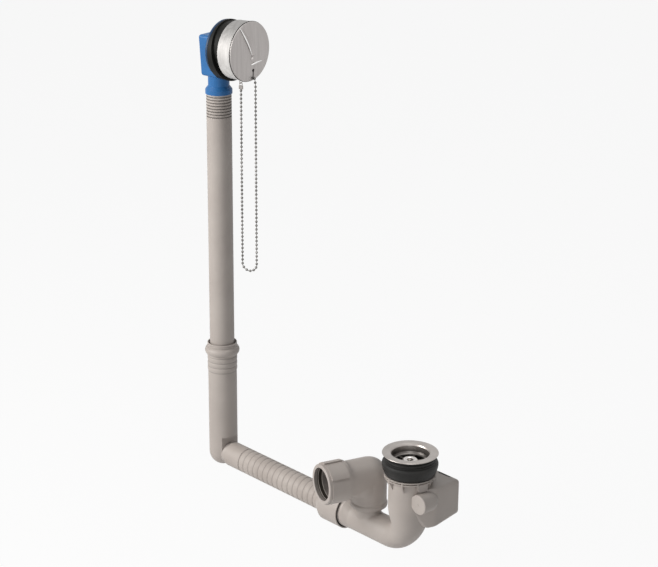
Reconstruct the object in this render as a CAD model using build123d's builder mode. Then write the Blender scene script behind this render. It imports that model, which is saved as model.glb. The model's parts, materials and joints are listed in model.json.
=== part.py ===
# Bath waste and overflow set with plug on a ball chain. Sizes in mm.
# Origin: on the waste axis, at the underside of the waste flange. +Z up, +X from the overflow
# tube to the waste, so the link hose runs along X.
import os
from math import cos, pi, radians, sin, tan

from build123d import *

os.makedirs("parts", exist_ok=True)

# Overall places
reach = 360.5
level_drop = 118.2
head_height = 447.4
head_turn = 9.5
outlet_gap = 72.2
outlet_drop = 54.7
outlet_turn = -106.4

# Clearances
seat_gap = 0.3
slide_gap = 0.9
seal_gap = 0.3
screw_gap = 0.25

# Overflow tube
tube_radius = 16.5
tube_wall = 2.0
tube_foot = -44.6
groove_count = 8
groove_pitch = 3.81
groove_depth = 1.1
groove_start = 2.6

# Overflow head body, measured along the head axis from the tube axis
collar_drop = 61.7
collar_radius = 17.6
collar_height = 6.6
neck_radius = 13.9
neck_wall = 2.0
spigot_length = 24.0
box_half_width = 17.0
box_top = 15.0
box_bottom = -38.0
box_back = 20.0
box_slant = 4.0
box_wall = 2.4
ring_radius = 37.2
ring_back = 9.6
ring_thickness = 4.5
ring_drop = 1.0
boss_radius = 6.2
insert_radius = 3.6
insert_length = 12.0

# Overflow gasket and rosette
head_gasket_radius = 38.8
head_gasket_bore = 24.0
head_gasket_drop = 2.0
head_gasket_top = 17.5
head_gasket_slope = 0.13
rosette_back = 30.7
rosette_back_radius = 37.5
disc_radius = 38.25
disc_back = 51.2
disc_front = 53.4
rosette_wall = 1.2
holder_radius = 26.0
plug_depth = 11.0
plug_seal_radius = 24.6
head_screw_radius = 2.4

# Chain
bead_size = 3.4
ring_wire = 0.5
eye_place = 37.5
front_place = 57.0
side_place = 5.6
chain_bottom = 150.2

# Lower elbow and socket
rim_height = 41.8
rim_radius = 20.0
rim_mouth = 18.7
bead_radius = 23.3
bead_place = 30.6
bead_half_height = 5.4
rib_radius = 20.3
rib_top = 22.8
rib_pitch = 7.1
pipe_ribs = 3
pipe_radius = 19.4
pipe_wall = 2.0
facet_place = 13.6
facet_top = -93.0
arm_radius = 14.9

# Link hose and its coupling
hose_radius = 16.75
hose_wall = 1.5
hose_ribs = 12
hose_rib_pitch = 12.2
hose_rib_depth = 0.9
hose_plain = 16.0
shoulder_place = -152.0
sleeve_place = -143.0
sleeve_end = -108.2
sleeve_radius = 24.3

# Trap body
level_radius = 20.8
inlet_radius = 26.3
trap_wall = 2.4
throat_radius = 18.3
throat_start = -103.0
throat_end = -93.0
bend_radius = 32.5
widening_top = -70.0
widening_turn = 55.0
widening_steps = 9
rim_top = -27.0
rim_depth = 4.4
rim_ring = 1.3
rim_core = 28.6
inlet_rim_radius = 32.2
rim_ribs = 10
rib_turn = 9.5
rib_drop = 11.5
pad_turn = -25.0
pad_sweep = 26.0
pad_radius = 30.8
pad_drop = 8.5
stub_radius = 16.2
stub_flare = 4.0
stub_wall = 2.2
stub_head_radius = 19.4
stub_base = -98.1
stub_top = -78.0
chamber_left = -27.0
chamber_right = 36.4
chamber_turn = -30.0
chamber_far = 53.0
chamber_top = -40.0
chamber_bottom = -94.0
chamber_rise = 8.5
chamber_edge = 4.5
chamber_floor_place = 1.0
chamber_near_bottom = -71.0
boss_end = -16.5
boss_length = 17.0
boss_offset = 31.2
boss_height = -54.7
closed_boss_radius = 12.7
slot_place = 12.0
slot_side = 49.2
spider_top = -37.0
spider_height = 15.0
spider_radius = 8.0
waste_insert_radius = 5.6
insert_depth = 13.0

# Waste
flange_radius = 35.0
flange_thickness = 1.2
dish_radius = 23.4
dish_depth = 11.2
plate_thickness = 1.4
screw_head_radius = 9.3
strainer_bars = 6
flange_seal_thickness = 2.0
waste_gasket_bore = 25.8
waste_screw_radius = 4.0
waste_gasket_radius = 35.0
waste_gasket_foot = 30.0

# Outlet
elbow_radius = 22.9
elbow_wall = 2.5
elbow_arm_radius = 22.4
knee_radius = 27.5
collar_flare = 1.2
collar_depth = 8.0
outlet_bore = 20.5
thread_radius = 23.2
nut_back = 35.0
nut_front = 67.2
nut_radius = 25.6
nut_panel = 2.1
nut_panels = 6
panel_front = 4.2
panel_back = 3.6
nut_mouth = 21.2


def turned(profile, axis=Axis.Z):
    """One closed outline in the XZ plane, turned about an axis."""
    with BuildPart() as body:
        with BuildSketch(Plane.XZ):
            with BuildLine():
                Polyline(*profile, close=True)
            make_face()
        revolve(axis=axis)
    return body.part


def keep(body, name):
    body.label = name
    export_step(body, f"parts/{name}.step")
    print(name, len(body.solids()), round(body.volume, 1))
    return body


tube_place = Location((-reach, 0, 0))
head_place = Location((-reach, 0, head_height), (0, 0, head_turn))
outlet_place = Location((-outlet_gap, 0, -outlet_drop), (0, 0, outlet_turn))
tube_top = head_height - collar_drop - seat_gap
tube_length = tube_top - tube_foot
tube_bore = tube_radius - tube_wall


# Overflow tube with ring grooves below its collar
with BuildPart() as overflow_tube:
    with BuildSketch(Plane.XY.offset(tube_foot)):
        Circle(tube_radius)
    extrude(amount=tube_length)
    with BuildSketch(Plane.XZ):
        for i in range(groove_count):
            z = tube_top - groove_start - i * groove_pitch
            with Locations((tube_radius, z)):
                Rectangle(2 * groove_depth, groove_pitch * 0.4)
    revolve(axis=Axis.Z, mode=Mode.SUBTRACT)
    with BuildSketch(Plane.XY.offset(tube_foot)):
        Circle(tube_bore)
    extrude(amount=tube_length, mode=Mode.SUBTRACT)
    chamfer(overflow_tube.edges().group_by(Axis.Z)[0].sort_by(SortBy.RADIUS)[-1], 1.0)
keep(tube_place * overflow_tube.part, "overflow_tube")

# Overflow head body: back box, flange ring, neck, collar and spigot, in the head's own frame
collar_bottom = -collar_drop
spigot_radius = tube_bore - seat_gap
groove_floor = spigot_radius - 1.5
seal_place = collar_bottom - 14.0
ring_front = ring_back + ring_thickness
with BuildPart() as overflow_body:
    with BuildSketch(Plane.XZ):
        with BuildLine():
            Polyline(
                (-box_back, box_top),
                (ring_back + 1, box_top),
                (ring_back + 1, box_bottom),
                (-box_back + box_slant, box_bottom),
                close=True,
            )
        make_face()
    extrude(amount=box_half_width, both=True)
    back_edges = overflow_body.faces().sort_by(Axis.X)[0].edges()
    fillet(back_edges + overflow_body.edges().filter_by(Axis.X), 3.6)
    add(
        Location((0, 0, -ring_drop))
        * turned(
            [
                (ring_back, 0),
                (ring_back, ring_radius - 1.4),
                (ring_back + 0.6, ring_radius - 0.4),
                (ring_back + 1.4, ring_radius),
                (ring_front - 1.0, ring_radius),
                (ring_front, ring_radius - 0.9),
                (ring_front, 0),
            ],
            Axis.X,
        )
    )
    add(
        turned(
            [
                (0, box_bottom + 6),
                (neck_radius, box_bottom + 6),
                (neck_radius, collar_bottom + collar_height + 4),
                (collar_radius, collar_bottom + collar_height - 1),
                (collar_radius, collar_bottom),
                (spigot_radius, collar_bottom),
                (spigot_radius, seal_place + 1.6),
                (groove_floor, seal_place + 1.6),
                (groove_floor, seal_place - 1.6),
                (spigot_radius, seal_place - 1.6),
                (spigot_radius, collar_bottom - spigot_length + 1),
                (spigot_radius - 1, collar_bottom - spigot_length),
                (0, collar_bottom - spigot_length),
            ]
        )
    )
    with BuildSketch(Plane.YZ.offset(-box_back + box_slant + box_wall)):
        with Locations((0, (box_top + box_bottom) / 2)):
            RectangleRounded(
                2 * (box_half_width - box_wall), box_top - box_bottom - 2 * box_wall, 3
            )
    extrude(amount=ring_front + box_back - box_slant - box_wall + 1, mode=Mode.SUBTRACT)
    with BuildSketch(Plane.XY.offset(collar_bottom - spigot_length - 1)):
        Circle(groove_floor - neck_wall)
    extrude(amount=spigot_length + collar_drop + box_bottom + 12, mode=Mode.SUBTRACT)
    with BuildSketch(Plane.YZ.offset(-box_back + box_slant)):
        Circle(boss_radius)
    extrude(amount=ring_front - 1 + box_back - box_slant)
    with BuildSketch(Plane.YZ.offset(ring_back)):
        Rectangle(2 * box_half_width, 3)
    extrude(amount=ring_thickness - 1)
    with BuildSketch(Plane.YZ.offset(ring_front - 1)):
        Circle(insert_radius + seal_gap / 3)
    extrude(amount=-insert_length - 6, mode=Mode.SUBTRACT)
keep(head_place * overflow_body.part, "overflow_body")

# Brass insert in the body's boss
insert_back = ring_front - 1 - insert_length
with BuildPart() as head_insert:
    with BuildSketch(Plane.YZ.offset(insert_back)):
        Circle(insert_radius)
        Circle(head_screw_radius + screw_gap / 2, mode=Mode.SUBTRACT)
    extrude(amount=insert_length)
keep(head_place * head_insert.part, "head_insert")

# O-ring on the body's spigot, inside the tube
with BuildPart() as head_seal:
    with BuildSketch(Plane.XZ):
        with Locations(((groove_floor + tube_bore) / 2, seal_place)):
            Circle((tube_bore - groove_floor) / 2 - seal_gap / 2)
    revolve(axis=Axis.Z)
keep(head_place * head_seal.part, "head_seal")

# Wedge gasket between body and rosette: a lipped ring cut thicker towards its bottom
gasket_back = ring_front + seat_gap / 3
gasket_front = rosette_back - seat_gap / 3
lip_plane = Plane(
    origin=(head_gasket_top, 0, head_gasket_radius - head_gasket_drop),
    x_dir=(0, 1, 0),
    z_dir=(1, 0, head_gasket_slope),
)
with BuildPart() as overflow_gasket:
    add(
        Location((0, 0, -head_gasket_drop))
        * turned(
            [
                (gasket_back, head_gasket_bore + 4.0),
                (gasket_back, head_gasket_radius - 1.0),
                (gasket_back + 1.0, head_gasket_radius),
                (gasket_front, head_gasket_radius + 0.6),
                (gasket_front, head_gasket_bore + 4.0),
            ],
            Axis.X,
        )
    )
    with BuildSketch(lip_plane):
        Rectangle(200, 200)
    extrude(amount=60, mode=Mode.SUBTRACT)
    with BuildSketch(Plane.YZ.offset(gasket_back)):
        Circle(rosette_back_radius - 2.4)
    extrude(amount=gasket_front - gasket_back)
    with BuildSketch(Plane.YZ.offset(gasket_back - 1)):
        Circle(head_gasket_bore)
    extrude(amount=gasket_front - gasket_back + 2, mode=Mode.SUBTRACT)
keep(head_place * overflow_gasket.part, "overflow_gasket")

# Rosette: side wall, back plate with water slots, plug holder and screw hub
hub_front = rosette_back + 3.4
with BuildPart() as rosette:
    add(
        turned(
            [
                (rosette_back, head_screw_radius + screw_gap),
                (rosette_back, rosette_back_radius),
                (disc_back - seat_gap, disc_radius),
                (disc_back - seat_gap, disc_radius - rosette_wall),
                (rosette_back + rosette_wall, rosette_back_radius - rosette_wall),
                (rosette_back + rosette_wall, holder_radius + rosette_wall),
                (disc_back - plug_depth + 2, holder_radius + rosette_wall),
                (disc_back - plug_depth + 2, holder_radius),
                (rosette_back + rosette_wall, holder_radius),
                (rosette_back + rosette_wall, 7.5),
                (hub_front, 6.5),
                (hub_front, head_screw_radius + screw_gap),
            ],
            Axis.X,
        )
    )
    with BuildSketch(Plane.YZ.offset(rosette_back - 1)):
        with PolarLocations(16.5, 6, start_angle=30):
            SlotOverall(13, 6.5, rotation=90)
    extrude(amount=3, mode=Mode.SUBTRACT)
    with BuildSketch(Plane.XY.offset(-disc_radius - 1)):
        with Locations((eye_place, 0)):
            Circle(0.8 + screw_gap)
    extrude(amount=4, mode=Mode.SUBTRACT)
keep(head_place * rosette.part, "rosette")

# Screw through the rosette's hub into the insert
rosette_screw = turned(
    [
        (insert_back + 1, 0),
        (insert_back + 1, head_screw_radius),
        (hub_front + seat_gap / 3, head_screw_radius),
        (hub_front + seat_gap / 3, 4.8),
        (hub_front + 2.4, 4.4),
        (hub_front + 3.2, 3.2),
        (hub_front + 1.6, 1.6),
        (hub_front + 1.6, 0),
    ],
    Axis.X,
)
keep(head_place * rosette_screw, "rosette_screw")

# Plug: crowned disc with a raised finger grip, a keyhole for the chain and a back stem
crown = 0.9
stem_back = disc_back - plug_depth
grip_height = 3.2
crease_slope = 0.8
keyhole_side = 5.2
keyhole_drop = 25.0
with BuildPart() as grip:
    add(
        turned(
            [
                (disc_front - 0.8, 0),
                (disc_front - 0.8, disc_radius - 1.0),
                (disc_front, disc_radius - 1.0),
                (disc_front + grip_height, 0),
            ],
            Axis.X,
        )
    )
    with BuildSketch(Plane.YZ.offset(disc_front - 1)):
        with BuildLine():
            Polyline((-27.0, 44.0), (-19.8, 34.9))
            ThreePointArc((-19.8, 34.9), (-7.0, 17.3), (1.6, -7.3))
            ThreePointArc((1.6, -7.3), (0.9, -14.5), (4.2, -17.6))
            Polyline((4.2, -17.6), (45.0, -14.6), (60.0, 60.0), (-27.0, 44.0))
        make_face()
    extrude(amount=7, dir=(1, crease_slope, crease_slope), mode=Mode.INTERSECT)

with BuildPart() as plug_cap:
    with BuildSketch(Plane.XZ):
        with BuildLine():
            Polyline((disc_back + 0.6, 0), (disc_back + 0.6, disc_radius - 1.2))
            Line((disc_back + 0.6, disc_radius - 1.2), (disc_back, disc_radius - 1.2))
            Line((disc_back, disc_radius - 1.2), (disc_back, disc_radius))
            Line((disc_back, disc_radius), (disc_front - 1.0, disc_radius))
            RadiusArc((disc_front - 1.0, disc_radius), (disc_front, disc_radius - 1.0), 1.0)
            Line((disc_front, disc_radius - 1.0), (disc_front + crown, 0))
            Line((disc_front + crown, 0), (disc_back + 0.6, 0))
        make_face()
    revolve(axis=Axis.X)
    add(grip.part)
    add(
        turned(
            [
                (stem_back, 0),
                (stem_back, 20.0),
                (stem_back + 2.0, 21.0),
                (stem_back + 2.0, 22.0),
                (stem_back + 5.2, 22.0),
                (stem_back + 5.2, 20.4),
                (disc_back + 1.0, 20.4),
                (disc_back + 1.0, 18.8),
                (stem_back + 1.4, 18.8),
                (stem_back + 1.4, 0),
            ],
            Axis.X,
        )
    )
    with BuildSketch(Plane.YZ.offset(disc_back - 1)):
        with Locations((keyhole_side, -keyhole_drop)):
            Circle(2.1)
        with Locations((keyhole_side, -keyhole_drop - 8)):
            Rectangle(1.9, 16)
    extrude(amount=8, mode=Mode.SUBTRACT)
keep(head_place * plug_cap.part, "plug_cap")

# Rubber ring round the plug's stem
plug_seal = turned(
    [
        (stem_back + 5.2 + seat_gap, 20.4 + seat_gap),
        (stem_back + 5.2 + seat_gap, plug_seal_radius),
        (stem_back + 6.6, plug_seal_radius + 1.1),
        (stem_back + 8.0, plug_seal_radius),
        (stem_back + 8.8, 22.5),
        (stem_back + 8.8, 20.4 + seat_gap),
    ],
    Axis.X,
)
keep(head_place * plug_seal, "plug_seal")


# Eye rivet under the rosette: shank, inner head and ring
def wall_radius_at(x):
    return rosette_back_radius + (disc_radius - rosette_back_radius) * (x - rosette_back) / (
        disc_back - seat_gap - rosette_back
    )


eye_wall = wall_radius_at(eye_place)
eye_ring = 2.4
eye_z = -eye_wall - seat_gap - 0.6 - eye_ring
with BuildPart() as rosette_eyelet:
    with BuildSketch(Plane.XY.offset(eye_z + eye_ring)):
        with Locations((eye_place, 0)):
            Circle(0.7)
    extrude(amount=-eye_z - eye_ring - eye_wall + rosette_wall + 1.2)
    with BuildSketch(Plane.XY.offset(-eye_wall + rosette_wall + 0.4)):
        with Locations((eye_place, 0)):
            Circle(1.6)
    extrude(amount=0.8)
    with Locations((eye_place, 0, eye_z)):
        Torus(eye_ring, ring_wire, rotation=(0, 90, 0))
keep(head_place * rosette_eyelet.part, "rosette_eyelet")

# Chain connector: an upper loop through the eye and a lower loop that holds the first bead
link_ring = 2.2
link_z = eye_z - eye_ring + 2 * ring_wire + 0.25 - link_ring
cup_z = link_z - link_ring - 3.4
with BuildPart() as chain_connector:
    with Locations((eye_place, 0, link_z)):
        Torus(link_ring, ring_wire, rotation=(90, 0, 0))
    with BuildSketch(Plane.XZ):
        with BuildLine():
            Polyline(
                (eye_place - 2.6, link_z - link_ring + 0.2),
                (eye_place + 2.6, link_z - link_ring + 0.2),
                (eye_place + 2.6, cup_z - 1.0),
                (eye_place + 1.4, cup_z - 1.0),
                (eye_place + 1.4, cup_z + 1.6),
                (eye_place - 1.4, cup_z + 1.6),
                (eye_place - 1.4, cup_z - 1.0),
                (eye_place - 2.6, cup_z - 1.0),
                close=True,
            )
        make_face()
    extrude(amount=1.3, both=True)
keep(head_place * chain_connector.part, "chain_connector")

# Ball chain, plain round path here
chain_top = cup_z - 1.2
loop_drop = 5.85
loop_z = chain_bottom - head_height + loop_drop + 0.3
half_gap_x = (front_place - eye_place) / 2
top_front = -keyhole_drop - 12.6
route = [
    (eye_place, 0, chain_top),
    (eye_place, 0, loop_z),
    (eye_place + half_gap_x, side_place / 2, loop_z - loop_drop),
    (front_place, side_place, loop_z),
    (front_place, side_place, top_front - 2.6),
    (disc_front + 2.2, keyhole_side, top_front + 3.2),
]


def bend_radii(points, share=0.45):
    radii = []
    for a, b, c in zip(points, points[1:], points[2:]):
        first = Vector(b) - Vector(a)
        second = Vector(c) - Vector(b)
        half = radians(first.get_angle(second)) / 2
        radii.append(round(share * min(first.length, second.length) / tan(half), 2))
    return radii


chain_radii = bend_radii(route)
print("chain radii", chain_radii)
with BuildPart() as plug_chain:
    with BuildLine() as chain_line:
        FilletPolyline(*route, radius=chain_radii)
    start = chain_line.line @ 0
    with BuildSketch(Plane(origin=start, z_dir=chain_line.line % 0)):
        Circle(bead_size / 2)
    sweep()
chain_length = sum(edge.length for edge in chain_line.edges())
round_section = pi * bead_size ** 2 / 4
print("chain length", round(chain_length, 1))
print("chain volume share", round(plug_chain.part.volume / (chain_length * round_section), 4))
keep(head_place * plug_chain.part, "plug_chain")

# Lower elbow: socket with bead and ribs, pipe, tight rounded bend, facet and arm for the hose
pipe_bore = tube_radius + slide_gap
arm_end = 26.0
bead_top = bead_place + bead_half_height
bead_foot = bead_place - bead_half_height
with BuildPart() as lower_elbow:
    with BuildSketch(Plane.XZ):
        with BuildLine():
            Polyline((pipe_radius, rib_top - pipe_ribs * rib_pitch), (pipe_radius, -level_drop))
            Polyline((pipe_radius, -level_drop), (0, -level_drop), (0, rim_height))
            Polyline(
                (0, rim_height),
                (rim_radius - 0.5, rim_height),
                (rim_radius, rim_height - 0.5),
                (rim_radius, rim_height - 2.0),
                (rim_radius - 0.4, rim_height - 2.3),
                (rim_radius, rim_height - 2.6),
                (rim_radius, rim_height - 4.2),
                (rim_radius - 0.4, rim_height - 4.5),
                (rim_radius, rim_height - 4.8),
                (rim_radius, bead_top),
            )
            ThreePointArc((rim_radius, bead_top), (bead_radius, bead_place), (rib_radius, bead_foot))
            Polyline((rib_radius, bead_foot), (rib_radius, rib_top + 0.6), (pipe_radius, rib_top))
            for i in range(pipe_ribs):
                z = rib_top - i * rib_pitch
                ThreePointArc(
                    (pipe_radius, z), (pipe_radius + 0.7, z - rib_pitch / 2), (pipe_radius, z - rib_pitch)
                )
        make_face()
    revolve(axis=Axis.Z)
    with Locations((0, 0, -level_drop)):
        Sphere(pipe_radius)
    with Locations((arm_end / 2 + facet_place - 13.6, 0, -level_drop)):
        Cylinder(arm_radius, arm_end + 16, rotation=(0, 90, 0))
    with BuildSketch(Plane.XY.offset(-level_drop - 30)):
        with Locations((facet_place + 20, 0)):
            Rectangle(40, 60)
    extrude(amount=facet_top + level_drop + 30, mode=Mode.SUBTRACT)
    with BuildSketch(Plane.YZ.offset(0)):
        with Locations((0, -level_drop)):
            Circle(arm_radius)
    extrude(amount=pipe_radius + arm_end)
    with BuildSketch(Plane.XY.offset(-level_drop)):
        Circle(pipe_bore)
        with Locations((facet_place - pipe_wall + 20, 0)):
            Rectangle(40, 60, mode=Mode.SUBTRACT)
    extrude(amount=facet_top + level_drop + pipe_wall, mode=Mode.SUBTRACT)
    with BuildSketch(Plane.XY.offset(facet_top + pipe_wall)):
        Circle(pipe_bore)
    extrude(amount=rim_height - facet_top, mode=Mode.SUBTRACT)
    with BuildSketch(Plane.XY.offset(bead_top - 0.6)):
        Circle(rim_mouth)
    extrude(amount=rim_height - bead_top + 1, mode=Mode.SUBTRACT)
    with Locations((0, 0, -level_drop)):
        Sphere(arm_radius - pipe_wall + 1.0, mode=Mode.SUBTRACT)
    with BuildSketch(Plane.YZ.offset(0)):
        with Locations((0, -level_drop)):
            Circle(arm_radius - pipe_wall + 0.4)
    extrude(amount=pipe_radius + arm_end + 1, mode=Mode.SUBTRACT)
    with BuildSketch(Plane.XZ):
        with Locations((pipe_bore + 1.4, bead_place - 0.4)):
            Rectangle(2.8, 5.2)
    revolve(axis=Axis.Z, mode=Mode.SUBTRACT)
keep(tube_place * lower_elbow.part, "lower_elbow")

# Rubber ring in the socket's bead
ring_outer = pipe_bore + 2.8 - seal_gap
ring_inner = tube_radius + seal_gap
socket_seal = turned(
    [
        (ring_inner + 0.9, bead_place - 2.7),
        (ring_outer, bead_place - 2.7),
        (ring_outer, bead_place + 1.9),
        (ring_inner + 0.9, bead_place + 1.9),
        (ring_inner, bead_place + 0.6),
        (ring_inner, bead_place - 0.8),
    ]
)
keep(tube_place * socket_seal, "socket_seal")

# Link hose: plain ends, shallow wide ribs between
hose_start = -reach + pipe_radius + 1.0
hose_end = shoulder_place + 14.0
rib_start = hose_start + hose_plain
hose_bore = hose_radius - hose_wall
rib_end = rib_start + hose_ribs * hose_rib_pitch
with BuildPart() as link_hose:
    with BuildSketch(Plane.XZ):
        with BuildLine():
            Polyline(
                (rib_end, hose_radius - hose_rib_depth),
                (rib_end + 0.8, hose_radius),
                (hose_end, hose_radius),
                (hose_end, hose_bore),
                (hose_start, hose_bore),
                (hose_start, hose_radius),
                (rib_start - 0.6, hose_radius),
                (rib_start, hose_radius - hose_rib_depth),
            )
            for i in range(hose_ribs):
                x = rib_start + i * hose_rib_pitch
                ThreePointArc(
                    (x, hose_radius - hose_rib_depth),
                    (x + hose_rib_pitch * 0.4, hose_radius),
                    (x + hose_rib_pitch, hose_radius - hose_rib_depth),
                )
        make_face()
    revolve(axis=Axis.X)
level_shift = Location((0, 0, -level_drop))
keep(level_shift * link_hose.part, "link_hose")

# Coupling sleeve: shoulder, sleeve and a small catch at its end
pipe_end = sleeve_place + 7.0
sleeve_bore = level_radius + seat_gap
neck_bore = hose_radius + seat_gap
with BuildPart() as hose_coupling:
    add(
        turned(
            [
                (shoulder_place, neck_bore),
                (shoulder_place, neck_bore + 1.6),
                (sleeve_place - 1.0, sleeve_radius - 0.8),
                (sleeve_place + 0.6, sleeve_radius),
                (sleeve_end, sleeve_radius),
                (sleeve_end, sleeve_bore + 1.9),
                (sleeve_end - 9.0, sleeve_bore + 1.9),
                (sleeve_end - 9.0, sleeve_bore),
                (pipe_end - 1.2, sleeve_bore),
                (pipe_end - 1.2, hose_radius - 2.2),
                (hose_end + seat_gap, hose_radius - 2.2),
                (hose_end + seat_gap, neck_bore),
            ],
            Axis.X,
        )
    )
    with BuildSketch(Plane.XY.offset(-sleeve_radius - 1.1)):
        with Locations((sleeve_end - 8.5, 0)):
            Rectangle(3.4, 9.0)
    extrude(amount=2.2)
    with BuildSketch(Plane.XY.offset(-sleeve_radius - 3.0)):
        with Locations((sleeve_end - 5.2, 0)):
            Rectangle(1.4, 8.0)
    extrude(amount=4.2, mode=Mode.SUBTRACT)
keep(level_shift * hose_coupling.part, "hose_coupling")

# Rubber ring between sleeve and trap pipe, just inside the sleeve's mouth
coupling_seal = turned(
    [
        (sleeve_end - 8.8, level_radius + 0.15),
        (sleeve_end - 8.8, sleeve_bore + 1.7),
        (sleeve_end - 0.8, sleeve_bore + 1.7),
        (sleeve_end - 0.2, sleeve_bore + 1.0),
        (sleeve_end - 0.2, level_radius + 0.15),
    ],
    Axis.X,
)
keep(level_shift * coupling_seal, "coupling_seal")

# Trap body: ribbed rim, inlet, bend, level pipe, stub, closed boss and chamber in one moulding
throat_level = -level_drop - level_radius + throat_radius
bend_top = bend_radius + throat_level
rim_bottom = rim_top - rim_depth
stub_groove = stub_top - 7.0


def bend(radius, section, left_out=0):
    """A solid bend with a round section, from level towards upright, which a whole quarter
    reaches at the origin; the last degrees may be left out."""

    def at(angle):
        return (radius * (cos(radians(angle)) - 1), 0, -radius * sin(radians(angle)))

    with BuildPart() as run:
        with BuildLine():
            ThreePointArc(at(90), at((90 + left_out) / 2), at(left_out))
        with BuildSketch(Plane(origin=at(90), z_dir=(1, 0, 0))):
            Circle(section)
        sweep()
    return run.part


bend_place = Location((0, 0, bend_top))


def level_run(inset):
    """The level pipe up to its throat, moved in by an inset: the spigot and the narrowing, with
    the undersides in line."""
    with BuildPart() as run:
        with BuildSketch(Plane.YZ.offset(pipe_end)):
            with Locations((0, -level_drop)):
                Circle(level_radius - inset)
        extrude(amount=throat_start - pipe_end)
        with BuildSketch(Plane.YZ.offset(throat_start)):
            with Locations((0, -level_drop)):
                Circle(level_radius - inset)
        with BuildSketch(Plane.YZ.offset(throat_end)):
            with Locations((0, throat_level)):
                Circle(throat_radius - inset)
        loft()
    return run.part


def widening(inset):
    """The smooth widening from the bend to the inlet, solid, moved in by an inset: circles
    down the waste axis and on round the bend's first degrees."""
    straight = widening_top - bend_top
    length = straight + bend_radius * radians(widening_turn)
    with BuildPart() as run:
        for i in range(widening_steps + 1):
            share = i / widening_steps
            angle = max(0.0, (share * length - straight) / bend_radius)
            down = min(share * length, straight)
            centre = (
                bend_radius * (cos(angle) - 1),
                0,
                widening_top - down - bend_radius * sin(angle),
            )
            ease = share * share * (3 - 2 * share)
            section = inlet_radius - inset - (inlet_radius - throat_radius) * ease
            with BuildSketch(Plane(origin=centre, x_dir=(0, 1, 0), z_dir=(-sin(angle), 0, -cos(angle)))):
                Circle(section)
        loft()
    return run.part


def chamber_block(inset):
    """The trap chamber beside the inlet, moved in by an inset: its near side leaves the round
    inlet along a tangent, and its floor rises towards the far side."""
    left = chamber_left + inset
    right = chamber_right - inset
    far = chamber_far - inset
    turn = radians(chamber_turn)
    near_x = (inlet_radius - inset) * cos(turn)
    near_y = (inlet_radius - inset) * sin(turn)
    corner_y = near_y + (right - near_x) / -tan(turn)
    with BuildPart() as block:
        with BuildSketch(Plane.XY.offset(chamber_bottom)):
            with BuildLine():
                Polyline(
                    (left, 0),
                    (near_x, near_y),
                    (right, corner_y),
                    (right, far),
                    (left, far),
                    close=True,
                )
            make_face()
        extrude(amount=chamber_top - chamber_bottom)
        with BuildSketch(Plane.YZ.offset(left)):
            with BuildLine():
                Polyline(
                    (near_y - 1, chamber_near_bottom + inset),
                    (chamber_floor_place, chamber_bottom + inset),
                    (far, chamber_bottom + chamber_rise + inset),
                    (far, chamber_top - inset),
                    (near_y - 1, chamber_top - inset),
                    close=True,
                )
            make_face()
        extrude(amount=right - left, mode=Mode.INTERSECT)
    return block


chamber = chamber_block(0)
with chamber:
    upright = chamber.edges().filter_by(Axis.Z)
    fillet(upright.sort_by(Axis.X)[-2:].sort_by(Axis.Y)[0], 14.0)
    fillet(chamber.edges().filter_by(Axis.Z).group_by(Axis.Y)[-1], chamber_edge + 0.5)
    fillet(chamber.edges().filter_by(Axis.X).group_by(Axis.Z)[0], 9.0)
    fillet(chamber.faces().sort_by(Axis.Z)[0].edges(), chamber_edge)
    fillet(chamber.faces().sort_by(Axis.Z)[-1].edges(), chamber_edge)

with BuildPart() as closed_boss:
    with BuildSketch(Plane.XZ.offset(-boss_end)):
        with Locations((boss_offset, boss_height)):
            Circle(closed_boss_radius)
    extrude(amount=-boss_length)
    with Locations((boss_offset, boss_end + boss_length, boss_height)):
        Sphere(closed_boss_radius)
    chamfer(closed_boss.edges().group_by(Axis.Y)[0], 0.8)

with BuildPart() as cavity:
    add(chamber_block(trap_wall).part)
    with BuildSketch(Plane.XY.offset(chamber_bottom)):
        Circle(inlet_radius)
    extrude(amount=chamber_top - chamber_bottom, mode=Mode.SUBTRACT)
    with BuildSketch(Plane.XZ.offset(-boss_end - trap_wall)):
        with Locations((boss_offset, boss_height)):
            Circle(closed_boss_radius - trap_wall)
    extrude(amount=-boss_length)
    with BuildSketch(Plane.XZ.offset(-inlet_radius / 2)):
        with Locations((0, (chamber_top + chamber_bottom) / 2)):
            Rectangle(28, 30)
    extrude(amount=-inlet_radius)

with BuildPart() as saddle:
    with BuildSketch(Plane.YZ.offset(throat_end)):
        with Locations((0, throat_level)):
            Circle(throat_radius)
    extrude(amount=-bend_radius - throat_end)
    with BuildSketch(Plane.XY.offset(-level_drop)):
        with Locations((-outlet_gap, 0)):
            Circle(stub_radius)
    extrude(amount=stub_top + level_drop)
    fillet(saddle.edges().filter_by(GeomType.BSPLINE), stub_flare)

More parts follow.
